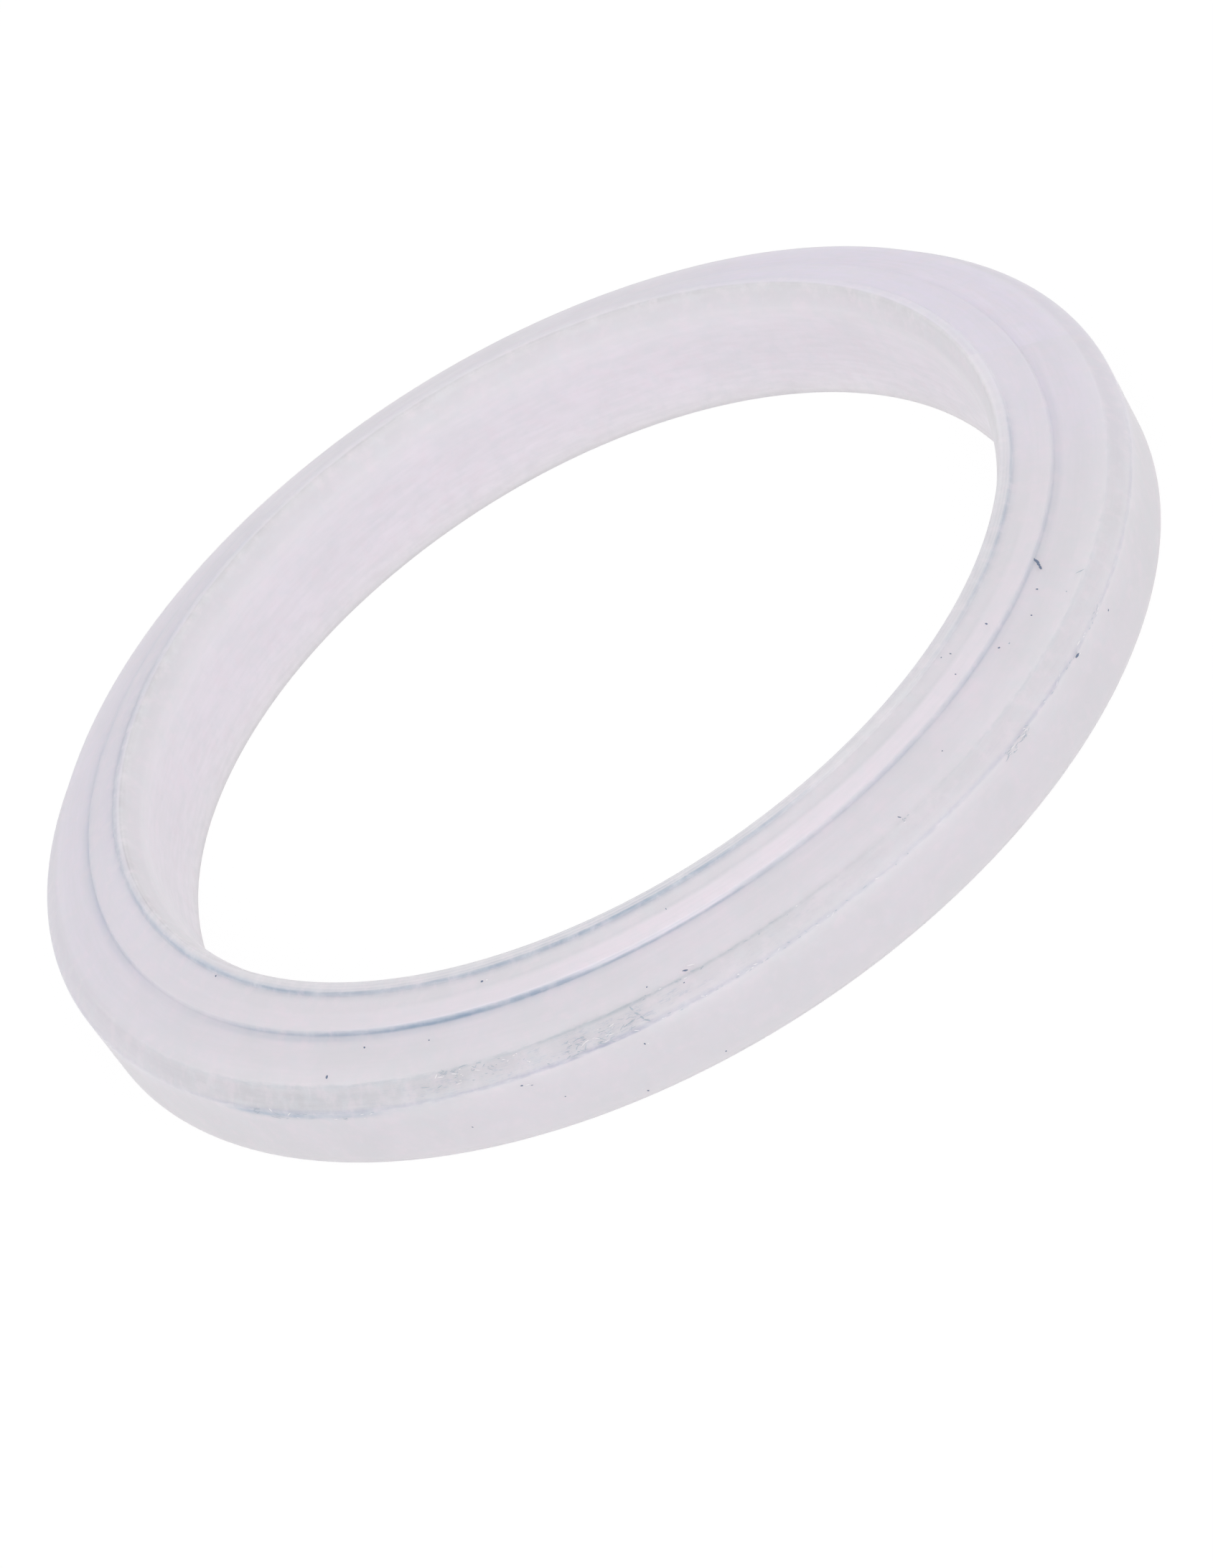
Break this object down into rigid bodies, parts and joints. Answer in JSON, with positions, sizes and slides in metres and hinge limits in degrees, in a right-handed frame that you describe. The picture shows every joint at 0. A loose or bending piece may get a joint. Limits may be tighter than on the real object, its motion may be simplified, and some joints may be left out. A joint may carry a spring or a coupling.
{
  "type": "group head gasket",
  "caption": "Translucent silicone sealing ring for an espresso machine group head, with a stepped conical top face, a bevelled shoulder and a flat underside.",
  "frame": {"origin": "centre of the flat underside", "axes": "+Z along the ring's axis, from the flat underside towards the raised inner rim"},
  "size_m": [0.064, 0.064, 0.0075],
  "materials": {
    "silicone": "translucent, smooth satin"
  },
  "bodies": {
    "root": {"gasket": "silicone"}
  },
  "joints": []
}
